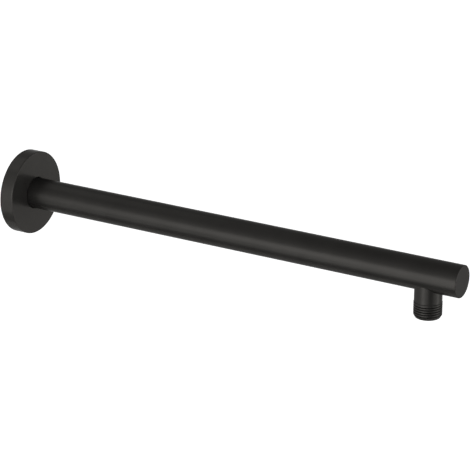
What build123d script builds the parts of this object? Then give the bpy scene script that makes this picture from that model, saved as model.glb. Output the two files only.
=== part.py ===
from build123d import *
import os

# Wall shower arm with a cover flange that slides and turns on it. Millimetres, +Z up.
# The arm's axis is the X axis, x = 0 is the face of the wall, and +X leaves the wall.

# Arm tube, and the gap that every brazed joint on it takes
TUBE_D = 24.0
TUBE_WALL = 1.5
REACH = 350.0
END_OVERHANG = 26.0
BRAZE_GAP = 0.06

# Plug that closes the outer end
PLUG_HEAD = 3.0
PLUG_SPIGOT = 6.0
END_EDGE = 0.6

# G 1/2 male threads, as plain cylinders over their crests, and the waterway through them
THREAD_D = 20.75
THREAD_CHAMFER = 1.1
THREAD_CHAMFER_LENGTH = 2.0
WATERWAY_D = 13.0
WATERWAY_CHAMFER = 0.5
SPIGOT_CHAMFER = 0.5

# Outlet nipple under the tube
OUTLET_COLLAR_D = 20.3
OUTLET_COLLAR = 7.8
OUTLET_THREAD = 11.7
OUTLET_SPIGOT_D = 17.0

# Inlet connector at the wall
INLET_THREAD = 12.0
INLET_SHOULDER = 4.0
INLET_SPIGOT = 10.0

# Cover flange, a shallow cup with a hub round the tube
FLANGE_D = 65.0
FLANGE_DEPTH = 11.0
FLANGE_FACE = 3.0
FLANGE_SKIRT = 2.5
FLANGE_EDGE = 0.8
BORE_EDGE = 0.4
HUB_WALL = 3.2
HUB_SET_BACK = 2.0
HUB_CLEARANCE = 0.3

# Rubber ring in a groove in the hub
RING_CORD_D = 1.9
RING_CLEARANCE = 0.1
GROOVE_SIDE_CLEARANCE = 0.2

# Sizes that follow from the ones above
TUBE_R = TUBE_D / 2
TUBE_BORE_R = TUBE_R - TUBE_WALL
SPIGOT_R = TUBE_BORE_R - BRAZE_GAP
THREAD_R = THREAD_D / 2
WATERWAY_R = WATERWAY_D / 2
ARM_END = REACH + END_OVERHANG
TUBE_END = ARM_END - PLUG_HEAD

RING_R = TUBE_R + RING_CLEARANCE + RING_CORD_D / 2
GROOVE_R = RING_R + RING_CORD_D / 2 + RING_CLEARANCE
GROOVE_HALF_WIDTH = RING_CORD_D / 2 + GROOVE_SIDE_CLEARANCE
GROOVE_X = (HUB_SET_BACK + FLANGE_DEPTH) / 2


def turned(*outline):
    """A turned piece on the X axis, from the corners of its half section as (station, radius)."""
    section = make_face(Polyline(*outline, close=True))
    return revolve(section, Axis.X)


def bar(radius, start, end):
    """A plain round bar on the X axis."""
    return turned((start, 0), (end, 0), (end, radius), (start, radius))


def at_outlet(piece):
    """Turn a piece from the X axis to the outlet's axis, where stations count down from the arm's axis."""
    return Pos(REACH, 0, 0) * Rot(0, 90, 0) * piece


def make_arm_tube():
    """A drawn tube between the connector's shoulder and the plug's head, with the outlet's hole below."""
    start = INLET_SHOULDER
    tube = turned((start, TUBE_BORE_R), (TUBE_END, TUBE_BORE_R), (TUBE_END, TUBE_R), (start, TUBE_R))
    return tube - at_outlet(bar(OUTLET_SPIGOT_D / 2, 0, TUBE_D))


def make_end_plug():
    """A head as wide as the tube, with a rounded edge, and a spigot that fits the tube's bore."""
    tip = TUBE_END - PLUG_SPIGOT
    plug = turned(
        (tip, 0),
        (ARM_END, 0),
        (ARM_END, TUBE_R),
        (TUBE_END, TUBE_R),
        (TUBE_END, SPIGOT_R),
        (tip + SPIGOT_CHAMFER, SPIGOT_R),
        (tip, SPIGOT_R - SPIGOT_CHAMFER),
    )
    return fillet(plug.edges().group_by(Axis.X)[-1], END_EDGE)


def make_outlet_nipple():
    """A collar saddled on the tube, a thread below it, and a spigot through the tube's wall."""
    collar_end = TUBE_R + OUTLET_COLLAR
    mouth = collar_end + OUTLET_THREAD
    body = turned(
        (0, WATERWAY_R),
        (mouth - WATERWAY_CHAMFER, WATERWAY_R),
        (mouth, WATERWAY_R + WATERWAY_CHAMFER),
        (mouth, THREAD_R - THREAD_CHAMFER),
        (mouth - THREAD_CHAMFER_LENGTH, THREAD_R),
        (collar_end, THREAD_R),
        (collar_end, OUTLET_COLLAR_D / 2),
        (0, OUTLET_COLLAR_D / 2),
    )
    spigot_r = OUTLET_SPIGOT_D / 2 - BRAZE_GAP
    spigot = turned((0, WATERWAY_R), (collar_end, WATERWAY_R), (collar_end, spigot_r), (0, spigot_r))
    saddled = at_outlet(body) - bar(TUBE_R + BRAZE_GAP, 0, ARM_END)
    return saddled + (at_outlet(spigot) - bar(TUBE_BORE_R, 0, ARM_END))


def make_inlet_connector():
    """A thread behind the wall's face, a shoulder as wide as the tube, and a spigot in the tube's bore."""
    mouth = -INLET_THREAD
    tip = INLET_SHOULDER + INLET_SPIGOT
    return turned(
        (mouth + WATERWAY_CHAMFER, WATERWAY_R),
        (mouth, WATERWAY_R + WATERWAY_CHAMFER),
        (mouth, THREAD_R - THREAD_CHAMFER),
        (mouth + THREAD_CHAMFER_LENGTH, THREAD_R),
        (0, THREAD_R),
        (0, TUBE_R),
        (INLET_SHOULDER, TUBE_R),
        (INLET_SHOULDER, SPIGOT_R),
        (tip - SPIGOT_CHAMFER, SPIGOT_R),
        (tip, SPIGOT_R - SPIGOT_CHAMFER),
        (tip, WATERWAY_R),
    )


def make_wall_flange():
    """A cup open to the wall, whose hub runs on the tube and holds the ring in its groove."""
    rim_r = FLANGE_D / 2
    skirt_r = rim_r - FLANGE_SKIRT
    back = FLANGE_DEPTH - FLANGE_FACE
    bore_r = TUBE_R + HUB_CLEARANCE
    hub_r = GROOVE_R + HUB_WALL
    cup = turned(
        (0, skirt_r),
        (0, rim_r),
        (FLANGE_DEPTH, rim_r),
        (FLANGE_DEPTH, bore_r),
        (GROOVE_X + GROOVE_HALF_WIDTH, bore_r),
        (GROOVE_X + GROOVE_HALF_WIDTH, GROOVE_R),
        (GROOVE_X - GROOVE_HALF_WIDTH, GROOVE_R),
        (GROOVE_X - GROOVE_HALF_WIDTH, bore_r),
        (HUB_SET_BACK, bore_r),
        (HUB_SET_BACK, hub_r),
        (back, hub_r),
        (back, skirt_r),
    )
    front_edges = cup.edges().group_by(Axis.X)[-1].sort_by(SortBy.RADIUS)
    cup = fillet(front_edges[-1], FLANGE_EDGE)
    front_edges = cup.edges().group_by(Axis.X)[-1].sort_by(SortBy.RADIUS)
    return fillet(front_edges[0], BORE_EDGE)


def make_flange_o_ring():
    """A round rubber ring that grips the tube."""
    return Pos(GROOVE_X, 0, 0) * Rot(0, 90, 0) * Torus(RING_R, RING_CORD_D / 2)


os.makedirs("parts", exist_ok=True)
export_step(make_arm_tube(), "parts/arm_tube.step")
export_step(make_end_plug(), "parts/end_plug.step")
export_step(make_outlet_nipple(), "parts/outlet_nipple.step")
export_step(make_inlet_connector(), "parts/inlet_connector.step")
export_step(make_wall_flange(), "parts/wall_flange.step")
export_step(make_flange_o_ring(), "parts/flange_o_ring.step")
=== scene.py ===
import math

import bpy
import numpy as np
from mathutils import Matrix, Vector


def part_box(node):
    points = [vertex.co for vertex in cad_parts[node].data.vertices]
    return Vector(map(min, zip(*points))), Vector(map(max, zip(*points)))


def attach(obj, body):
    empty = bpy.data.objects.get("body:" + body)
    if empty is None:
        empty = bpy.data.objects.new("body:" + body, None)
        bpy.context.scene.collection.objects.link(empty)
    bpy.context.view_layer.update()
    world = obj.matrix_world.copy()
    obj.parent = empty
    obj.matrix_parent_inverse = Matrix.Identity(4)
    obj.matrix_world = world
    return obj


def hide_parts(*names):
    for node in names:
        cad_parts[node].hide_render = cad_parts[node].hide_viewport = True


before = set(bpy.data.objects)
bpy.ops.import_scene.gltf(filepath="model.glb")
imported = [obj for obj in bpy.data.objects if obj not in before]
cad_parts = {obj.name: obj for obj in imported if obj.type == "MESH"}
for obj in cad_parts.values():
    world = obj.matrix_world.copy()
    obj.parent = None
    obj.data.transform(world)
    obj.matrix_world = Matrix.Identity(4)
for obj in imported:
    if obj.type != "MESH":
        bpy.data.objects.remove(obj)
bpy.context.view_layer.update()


# Arm tube
# A straight length of drawn brass tube, polished, then coated satin black on the outside once the end plug
# and the two threaded pieces are brazed into it. The coat stops at the mouths, so the bore stays bare brass.
TUBE_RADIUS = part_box("arm_tube")[1].z
TUBE_WALL = 0.0015
TUBE_BORE = TUBE_RADIUS - TUBE_WALL
COAT_DEPTH = 0.0003
ARM_COAT = {
    "colours": ((0.034, 0.0327, 0.0308, 1), (0.038, 0.0365, 0.0344, 1)),
    "roughness": (0.28, 0.34),
    "metallic": 0.65,
    "specular": 0.1,
    "edge": (0.37, 0.37, 0.37, 1),
}
COAT_GRAIN = 2400
COAT_DRIFT = 55
COAT_BUMP = {"distance": 0.00002, "strength": 0.35}
BRASS_COLOUR = (0.52, 0.34, 0.12, 1)
BRASS_COLOUR_DULL = (0.34, 0.22, 0.09, 1)
BRASS_ROUGHNESS = (0.24, 0.42)
BRASS_STREAK = (40, 900, 900)
NOISE_MIDDLE = (0.3, 0.7)


class Shader:
    """A new material and its node tree, with short ways to add a node and to link two sockets."""

    def __init__(self, name):
        self.material = bpy.data.materials.new(name)
        self.material.use_nodes = True
        self.tree = self.material.node_tree
        self.bsdf = self.tree.nodes["Principled BSDF"]
        self.coordinates = self.add("ShaderNodeTexCoord").outputs["Object"]

    def add(self, kind, **settings):
        node = self.tree.nodes.new(kind)
        for key, value in settings.items():
            setattr(node, key, value)
        return node

    def link(self, source, target):
        self.tree.links.new(source, target)

    def noise(self, scale, detail=2.0, stretch=(1, 1, 1)):
        """Noise of about `scale` grains a metre, stretched by a factor along each axis."""
        mapping = self.add("ShaderNodeMapping")
        mapping.inputs["Scale"].default_value = stretch
        self.link(self.coordinates, mapping.inputs["Vector"])
        noise = self.add("ShaderNodeTexNoise")
        noise.inputs["Scale"].default_value = scale
        noise.inputs["Detail"].default_value = detail
        self.link(mapping.outputs["Vector"], noise.inputs["Vector"])
        return noise.outputs["Fac"]

    def spread(self, source, low, high):
        """Map the middle part of a noise, where nearly all of it lies, to the range from low to high."""
        ramp = self.add("ShaderNodeMapRange")
        ramp.inputs["From Min"].default_value = NOISE_MIDDLE[0]
        ramp.inputs["From Max"].default_value = NOISE_MIDDLE[1]
        ramp.inputs["To Min"].default_value = low
        ramp.inputs["To Max"].default_value = high
        self.link(source, ramp.inputs["Value"])
        return ramp.outputs["Result"]

    def blend_colours(self, factor, first, second):
        """Mix two colours by a factor; each colour is a value or another node's output."""
        mix = self.add("ShaderNodeMix", data_type="RGBA")
        self.link(factor, mix.inputs["Factor"])
        for socket, colour in ((mix.inputs[6], first), (mix.inputs[7], second)):
            if isinstance(colour, tuple):
                socket.default_value = colour
            else:
                self.link(colour, socket)
        return mix.outputs[2]

    def blend_values(self, factor, first, second):
        """Mix two numbers by a factor; each is a value or another node's output."""
        mix = self.add("ShaderNodeMix", data_type="FLOAT")
        self.link(factor, mix.inputs["Factor"])
        for socket, value in ((mix.inputs[2], first), (mix.inputs[3], second)):
            if isinstance(value, (int, float)):
                socket.default_value = value
            else:
                self.link(value, socket)
        return mix.outputs[0]

    def bump(self, height, distance, strength):
        """Raise the surface's shading by a height, over a distance in metres."""
        bump = self.add("ShaderNodeBump")
        bump.inputs["Distance"].default_value = distance
        bump.inputs["Strength"].default_value = strength
        self.link(height, bump.inputs["Height"])
        self.link(bump.outputs["Normal"], self.bsdf.inputs["Normal"])


def coat_parts(shader, finish):
    """The coat's colour, roughness and metal share: a fine sprayed grain with a slow drift in gloss and
    tone. Its reflection is partly a dark metal's, which stays dim at a glancing angle."""
    shader.bsdf.inputs["Specular IOR Level"].default_value = finish["specular"]
    shader.bsdf.inputs["Specular Tint"].default_value = finish["edge"]
    grain = shader.noise(COAT_GRAIN, 3.0)
    drift = shader.noise(COAT_DRIFT, 3.0)
    tone = shader.spread(drift, 0.0, 1.0)
    colour = shader.blend_colours(tone, *finish["colours"])
    uneven = shader.blend_values(shader.spread(grain, 0.0, 1.0), drift, grain)
    shader.bump(grain, **COAT_BUMP)
    return colour, shader.spread(uneven, *finish["roughness"]), finish["metallic"]


def satin_black(name, finish):
    """Satin black coat all over."""
    shader = Shader(name)
    colour, roughness, metallic = coat_parts(shader, finish)
    shader.link(colour, shader.bsdf.inputs["Base Color"])
    shader.link(roughness, shader.bsdf.inputs["Roughness"])
    shader.bsdf.inputs["Metallic"].default_value = metallic
    return shader.material


def satin_black_tube(name, finish, bore_radius):
    """Satin black coat outside, and bare drawn brass within the bore's distance of the X axis."""
    shader = Shader(name)
    colour, roughness, metallic = coat_parts(shader, finish)
    axes = shader.add("ShaderNodeSeparateXYZ")
    shader.link(shader.coordinates, axes.inputs["Vector"])
    across = shader.add("ShaderNodeCombineXYZ")
    shader.link(axes.outputs["Y"], across.inputs["Y"])
    shader.link(axes.outputs["Z"], across.inputs["Z"])
    radius = shader.add("ShaderNodeVectorMath", operation="LENGTH")
    shader.link(across.outputs["Vector"], radius.inputs[0])
    outside = shader.add("ShaderNodeMath", operation="GREATER_THAN")
    outside.inputs[1].default_value = bore_radius + COAT_DEPTH
    shader.link(radius.outputs["Value"], outside.inputs[0])
    coated = outside.outputs["Value"]
    streaks = shader.noise(1.0, 4.0, BRASS_STREAK)
    brass = shader.blend_colours(shader.spread(streaks, 0.0, 1.0), BRASS_COLOUR, BRASS_COLOUR_DULL)
    brass_roughness = shader.spread(streaks, *BRASS_ROUGHNESS)
    shader.link(shader.blend_colours(coated, brass, colour), shader.bsdf.inputs["Base Color"])
    shader.link(shader.blend_values(coated, brass_roughness, roughness), shader.bsdf.inputs["Roughness"])
    shader.link(shader.blend_values(coated, 1.0, metallic), shader.bsdf.inputs["Metallic"])
    return shader.material


def dress(node, material):
    """Give a CAD node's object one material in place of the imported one."""
    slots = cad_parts[node].material_slots
    for slot in slots:
        slot.material = material


coat = satin_black("satin_black_coat", ARM_COAT)
dress("arm_tube", satin_black_tube("satin_black_tube", ARM_COAT, TUBE_BORE))


# End plug
# A turned brass plug with a head as wide as the tube, brazed in, dressed flush and coated with the tube.
# Its face is flat, and the edge is broken by a small radius.
dress("end_plug", coat)


# Outlet nipple
# Turned brass: a plain collar saddled on the tube, then a G 1/2 male thread with a chamfered start.
# It is brazed through the tube's wall and coated with it, apart from the waterway inside.
REACH = 0.350
PITCH = 0.001814
THREAD_CREST = 0.010375
THREAD_ROOT = 0.009315
THREAD_CHAMFER = 0.0011
THREAD_CHAMFER_LENGTH = 0.0020
RUN_OUT = 1.2 * PITCH
WATERWAY = 0.0065
WATERWAY_CHAMFER = 0.0005
BRAZE_GAP = 0.00006
TURNS_AROUND = 192
STEPS_PER_PITCH = 22
CREST_SHARE = 0.56
ROOT_SHARE = 0.08
COLLAR_RADIUS = 0.01015
COLLAR_LENGTH = 0.0078
OUTLET_DROP = 0.0195
OUTLET_HOLE = 0.0085
COLLAR_END = TUBE_RADIUS + COLLAR_LENGTH
OUTLET_MOUTH = TUBE_RADIUS + OUTLET_DROP
SPIGOT_RADIUS = OUTLET_HOLE - BRAZE_GAP
EDGE_BREAK = 0.00015
COLLAR_ROWS = 8
UNDER_COLLAR_ROWS = 3
SHARP_ANGLE = math.radians(38)
BRASS_GRAIN = 700
BRASS_BUMP = {"distance": 0.00003, "strength": 0.3}

around = np.linspace(0, 2 * np.pi, TURNS_AROUND, endpoint=False)


def thread_radius(station):
    """Radius of a right-hand thread at stations (rows) and angles (columns): one wave for each pitch, level
    over the crest's share and the root's share of it, eased from one to the other by a smooth step."""
    turn = station[:, None] / PITCH - around[None, :] / (2 * np.pi)
    from_crest = 2 * np.abs(turn - np.round(turn))
    fall = np.clip((from_crest - CREST_SHARE) / (1 - CREST_SHARE - ROOT_SHARE), 0, 1)
    return THREAD_CREST - (THREAD_CREST - THREAD_ROOT) * fall * fall * (3 - 2 * fall)


def ring_rows(*corners):
    """Plain rows of a turned surface, one for each (station, radius) corner, the same at every angle."""
    stations, radii = np.array(corners).T
    same = np.ones(TURNS_AROUND)
    return np.outer(stations, same), np.outer(radii, same)


def saddle_rows(tube_radius, radii):
    """Rows that lie on a tube across the axis: at radius r and angle a the station is the height of the tube
    there, the root of its radius squared less (r cos a) squared."""
    radii = np.outer(radii, np.ones(TURNS_AROUND))
    return np.sqrt(tube_radius**2 - (radii * np.cos(around)) ** 2), radii


def between_rows(first, last, count):
    """Rows spread evenly between two rows, both left out."""
    share = np.linspace(0, 1, count + 2)[1:-1, None]
    return tuple(a[-1] * (1 - share) + b[0] * share for a, b in zip(first, last))


def thread_rows(first, last, mouth):
    """Rows along a thread between a shoulder and a mouth, one of which is first: its depth fades out towards
    the shoulder over the run-out, and a bevel cuts its crests at each end."""
    station = np.linspace(first, last, int(abs(last - first) / PITCH * STEPS_PER_PITCH))
    from_mouth = np.abs(station - mouth)
    from_shoulder = abs(last - first) - from_mouth
    share = np.clip(from_shoulder / RUN_OUT, 0, 1)
    depth = share * share * (3 - 2 * share)
    radius = THREAD_CREST - (THREAD_CREST - thread_radius(station)) * depth[:, None]
    start_bevel = THREAD_CREST - THREAD_CHAMFER * (1 - from_mouth / THREAD_CHAMFER_LENGTH)
    bevel = np.minimum(start_bevel, COLLAR_RADIUS + from_shoulder)
    return np.outer(station, np.ones(TURNS_AROUND)), np.minimum(radius, bevel[:, None])


def turned_mesh(name, rows, coated_rows, place):
    """A closed ring of rows swept round an axis: station along it, radius and angle across it. `place` puts
    (station, across, up) into the frame, and rows past coated_rows take the second material."""
    station = np.concatenate([row[0] for row in rows])
    radius = np.concatenate([row[1] for row in rows])
    count = len(station)
    points = place(station, radius * np.cos(around), radius * np.sin(around))
    vertices = np.stack(points, axis=-1).reshape(-1, 3)
    index = np.arange(count * TURNS_AROUND).reshape(count, TURNS_AROUND)
    ahead = np.roll(index, -1, axis=0)
    faces = np.stack([index, np.roll(index, -1, axis=1), np.roll(ahead, -1, axis=1), ahead], axis=-1)
    mesh = bpy.data.meshes.new(name)
    mesh.from_pydata(vertices, [], faces.reshape(-1, 4))
    row_of_face = np.repeat(np.arange(count), TURNS_AROUND)
    mesh.polygons.foreach_set("material_index", (row_of_face >= coated_rows).astype(np.int32))
    mesh.polygons.foreach_set("use_smooth", np.ones(len(mesh.polygons), bool))
    mesh.set_sharp_from_angle(angle=SHARP_ANGLE)
    mesh.update()
    piece = bpy.data.objects.new(name, mesh)
    bpy.context.scene.collection.objects.link(piece)
    return piece


def bare_brass(name):
    """Turned brass left bare, with a fine grain that is brighter in some spots and duller in others."""
    shader = Shader(name)
    streaks = shader.noise(BRASS_GRAIN, 4.0)
    tone = shader.spread(streaks, 0.0, 1.0)
    shader.link(shader.blend_colours(tone, BRASS_COLOUR, BRASS_COLOUR_DULL), shader.bsdf.inputs["Base Color"])
    shader.link(shader.spread(streaks, *BRASS_ROUGHNESS), shader.bsdf.inputs["Roughness"])
    shader.bsdf.inputs["Metallic"].default_value = 1.0
    shader.bump(streaks, **BRASS_BUMP)
    return shader.material


brass = bare_brass("bare_brass")
dress("outlet_nipple", coat)
saddle = saddle_rows(TUBE_RADIUS, [COLLAR_RADIUS])
collar = ring_rows(
    (COLLAR_END - 2 * EDGE_BREAK, COLLAR_RADIUS),
    (COLLAR_END - EDGE_BREAK, COLLAR_RADIUS - EDGE_BREAK),
)
outlet_thread = thread_rows(COLLAR_END, OUTLET_MOUTH, OUTLET_MOUTH)
outlet_bore = ring_rows(
    (OUTLET_MOUTH, WATERWAY + WATERWAY_CHAMFER),
    (OUTLET_MOUTH - WATERWAY_CHAMFER, WATERWAY),
)
spigot_top = saddle_rows(TUBE_BORE, [WATERWAY, SPIGOT_RADIUS])
under_collar_radii = np.linspace(SPIGOT_RADIUS, COLLAR_RADIUS, UNDER_COLLAR_ROWS + 1)[:-1]
under_collar = saddle_rows(TUBE_RADIUS + BRAZE_GAP, under_collar_radii)
outside = [saddle, between_rows(saddle, collar, COLLAR_ROWS), collar, outlet_thread]
inside = [outlet_bore, spigot_top, under_collar]
outlet = turned_mesh(
    "outlet_nipple_threaded",
    outside + inside,
    sum(len(row[0]) for row in outside),
    lambda station, across, up: (REACH + up, across, -station),
)
outlet.data.materials.append(coat)
outlet.data.materials.append(brass)
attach(outlet, "arm")
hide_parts("outlet_nipple")


# Inlet connector
# Turned brass: a G 1/2 male thread that screws into the wall, a shoulder as wide as the tube, and a spigot
# brazed into the tube's bore. The thread runs out against the shoulder. The flange hides it in use.
INLET_MOUTH = -0.012
INLET_SHOULDER = 0.004
INLET_TIP = 0.014
INLET_SPIGOT = TUBE_BORE - BRAZE_GAP
SPIGOT_CHAMFER = 0.0005

dress("inlet_connector", coat)
inlet_outside = [
    thread_rows(INLET_MOUTH, 0, INLET_MOUTH),
    ring_rows(
        (0, TUBE_RADIUS - EDGE_BREAK),
        (EDGE_BREAK, TUBE_RADIUS),
        (INLET_SHOULDER, TUBE_RADIUS),
    ),
]
inlet_inside = [
    ring_rows(
        (INLET_SHOULDER, INLET_SPIGOT),
        (INLET_TIP - SPIGOT_CHAMFER, INLET_SPIGOT),
        (INLET_TIP, INLET_SPIGOT - SPIGOT_CHAMFER),
        (INLET_TIP, WATERWAY),
        (INLET_MOUTH + WATERWAY_CHAMFER, WATERWAY),
        (INLET_MOUTH, WATERWAY + WATERWAY_CHAMFER),
    )
]
inlet = turned_mesh(
    "inlet_connector_threaded",
    inlet_outside + inlet_inside,
    sum(len(row[0]) for row in inlet_outside),
    lambda station, across, up: (station, across, up),
)
inlet.data.materials.append(coat)
inlet.data.materials.append(brass)
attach(inlet, "arm")
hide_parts("inlet_connector")


# Rubber ring
# A round ring moulded in nitrile rubber. It sits in the groove of the flange's hub and grips the tube, which
# holds the flange where it is pushed.
RUBBER_COLOUR = (0.012, 0.012, 0.0125, 1)
RUBBER_COLOUR_DUSTY = (0.024, 0.024, 0.024, 1)
RUBBER_ROUGHNESS = (0.55, 0.75)
RUBBER_GRAIN = 3000
RUBBER_DUST = 300
RUBBER_BUMP = {"distance": 0.00004, "strength": 0.5}


def nitrile_rubber(name):
    """Matt black rubber with a fine moulded grain and a trace of dust."""
    shader = Shader(name)
    grain = shader.noise(RUBBER_GRAIN, 4.0)
    dust = shader.noise(RUBBER_DUST, 2.0)
    colour = shader.blend_colours(shader.spread(dust, 0.0, 1.0), RUBBER_COLOUR, RUBBER_COLOUR_DUSTY)
    shader.link(colour, shader.bsdf.inputs["Base Color"])
    shader.link(shader.spread(grain, *RUBBER_ROUGHNESS), shader.bsdf.inputs["Roughness"])
    shader.bump(grain, **RUBBER_BUMP)
    return shader.material


dress("flange_o_ring", nitrile_rubber("nitrile_rubber"))


# Cover flange
# A turned brass cup, coated satin black all over, that covers the hole in the wall. Its face is flat with a
# small radius at the rim, and its hub slides and turns on the tube. Its coat is a little smoother.
FLANGE_COAT = {
    "colours": ((0.043, 0.0414, 0.039, 1), (0.047, 0.0452, 0.0426, 1)),
    "roughness": (0.19, 0.25),
    "metallic": 0.5,
    "specular": 0.0,
    "edge": (0.55, 0.55, 0.55, 1),
}

dress("wall_flange", satin_black("satin_black_flange", FLANGE_COAT))


# Studio
# A plain white floor well below the arm, and pale walls under a dim ceiling all round. A broad soft light
# faces the arm's side, four more stand round it, and two cards below darken what its underside mirrors.
FLOOR_LEVEL = -0.6
FLOOR_SIZE = 14.0
FLOOR_WHITE = 0.85
FLOOR_GLOW = 0.7
WALL_LEVEL = 1.06
CEILING_LEVEL = 0.1
WALL_TOP = 0.2


def floor_white(name):
    """Plain white, with a glow for what the camera, reflections and clear things see, so that it reads as
    white and still keeps a shadow."""
    material = bpy.data.materials.new(name)
    material.use_nodes = True
    tree = material.node_tree
    bsdf = tree.nodes["Principled BSDF"]
    bsdf.inputs["Base Color"].default_value = (FLOOR_WHITE, FLOOR_WHITE, FLOOR_WHITE, 1)
    bsdf.inputs["Roughness"].default_value = 1.0
    bsdf.inputs["Specular IOR Level"].default_value = 0.0
    bsdf.inputs["Emission Color"].default_value = (1, 1, 1, 1)
    path = tree.nodes.new("ShaderNodeLightPath")
    seen = path.outputs["Is Camera Ray"]
    for ray in ("Is Glossy Ray", "Is Transmission Ray"):
        either = tree.nodes.new("ShaderNodeMath")
        either.operation = "MAXIMUM"
        tree.links.new(seen, either.inputs[0])
        tree.links.new(path.outputs[ray], either.inputs[1])
        seen = either.outputs["Value"]
    glow = tree.nodes.new("ShaderNodeMath")
    glow.operation = "MULTIPLY"
    glow.inputs[1].default_value = FLOOR_GLOW
    tree.links.new(seen, glow.inputs[0])
    tree.links.new(glow.outputs["Value"], bsdf.inputs["Emission Strength"])
    return material


def flat_panel(name, centre, across, along, material):
    """A flat panel: its centre plus and minus half of the two edge vectors."""
    corner = np.array([(-0.5, -0.5), (0.5, -0.5), (0.5, 0.5), (-0.5, 0.5)])
    mesh = bpy.data.meshes.new(name)
    mesh.from_pydata(np.array(centre) + corner @ np.array([across, along]), [], [(0, 1, 2, 3)])
    mesh.materials.append(material)
    panel = bpy.data.objects.new(name, mesh)
    bpy.context.scene.collection.objects.link(panel)
    return panel


def soft_light(name, place, target, width, height, radiance):
    """A rectangular soft light that faces a target; its power follows from its area and brightness."""
    lamp = bpy.data.lights.new(name, "AREA")
    lamp.shape = "RECTANGLE"
    lamp.size = width
    lamp.size_y = height
    lamp.energy = math.pi * width * height * radiance
    light = bpy.data.objects.new(name, lamp)
    light.location = place
    light.rotation_euler = (Vector(target) - Vector(place)).to_track_quat("-Z", "Y").to_euler()
    bpy.context.scene.collection.objects.link(light)
    return light


def matt_card(name, grey):
    """Plain matt card of one grey."""
    material = bpy.data.materials.new(name)
    material.use_nodes = True
    bsdf = material.node_tree.nodes["Principled BSDF"]
    bsdf.inputs["Base Color"].default_value = (grey, grey, grey, 1)
    bsdf.inputs["Roughness"].default_value = 1.0
    bsdf.inputs["Specular IOR Level"].default_value = 0.0
    return material


def pale_walls(name):
    """A surround with the walls' brightness up to a low height, fading evenly to the ceiling's overhead."""
    surround = bpy.data.worlds.new(name)
    surround.use_nodes = True
    tree = surround.node_tree
    direction = tree.nodes.new("ShaderNodeTexCoord")
    axes = tree.nodes.new("ShaderNodeSeparateXYZ")
    tree.links.new(direction.outputs["Generated"], axes.inputs["Vector"])
    level = tree.nodes.new("ShaderNodeMapRange")
    level.inputs["From Min"].default_value = WALL_TOP
    level.inputs["To Min"].default_value = WALL_LEVEL
    level.inputs["To Max"].default_value = CEILING_LEVEL
    tree.links.new(axes.outputs["Z"], level.inputs["Value"])
    tree.nodes["Background"].inputs["Color"].default_value = (1, 1, 1, 1)
    tree.links.new(level.outputs["Result"], tree.nodes["Background"].inputs["Strength"])
    return surround


middle = (0.19, 0, 0)
outlet_place = (REACH, 0, -0.02)
flat_panel(
    "floor",
    centre=(0.2, 0, FLOOR_LEVEL),
    across=(FLOOR_SIZE, 0, 0),
    along=(0, FLOOR_SIZE, 0),
    material=floor_white("floor_white"),
)
soft_light("key_light", (0.13, -1.30, 0.03), middle, width=1.65, height=0.75, radiance=1.72)
soft_light("side_light", (-0.85, 0.10, 0.90), middle, width=0.9, height=0.9, radiance=0.55)
soft_light("far_light", (2.50, 1.60, -0.38), middle, width=1.9, height=0.4, radiance=2.6)
soft_light("low_light", (0.10, -0.90, -0.40), outlet_place, width=0.42, height=0.3, radiance=1.7)
soft_light("edge_light", (1.22, 0.32, -0.40), outlet_place, width=0.35, height=0.3, radiance=2.2)
cards = [
    flat_panel(
        "dark_card",
        centre=(0.72, -0.37, -0.32),
        across=(0.31, 0.31, 0),
        along=(0.17, -0.17, 0.32),
        material=matt_card("black_card", grey=0.02),
    ),
    flat_panel(
        "low_card",
        centre=(0.15, -0.22, -0.35),
        across=(0.9, 0, 0),
        along=(0, 0.30, 0),
        material=matt_card("grey_card", grey=0.4),
    ),
]
for card in cards:
    card.visible_camera = False
bpy.context.scene.world = pale_walls("surround")


# Camera
# It stands in front of the arm, to the right and above, and looks back along it through a long lens.
# Its place and lens come from fitting the arm's outlines to the photograph's viewing angle.
CAMERA_PLACE = (0.93679, -1.25934, 0.55363)
CAMERA_YAW = math.radians(30.630)
CAMERA_PITCH = math.radians(-20.745)
CAMERA_LENS = 161.83
CAMERA_SENSOR = 36.0

camera_data = bpy.data.cameras.new("camera")
camera_data.lens = CAMERA_LENS
camera_data.sensor_width = CAMERA_SENSOR
camera = bpy.data.objects.new("camera", camera_data)
camera.location = CAMERA_PLACE
camera.rotation_euler = (math.radians(90) + CAMERA_PITCH, 0, CAMERA_YAW)
bpy.context.scene.collection.objects.link(camera)
bpy.context.scene.camera = camera
bpy.context.scene.view_settings.view_transform = "Standard"
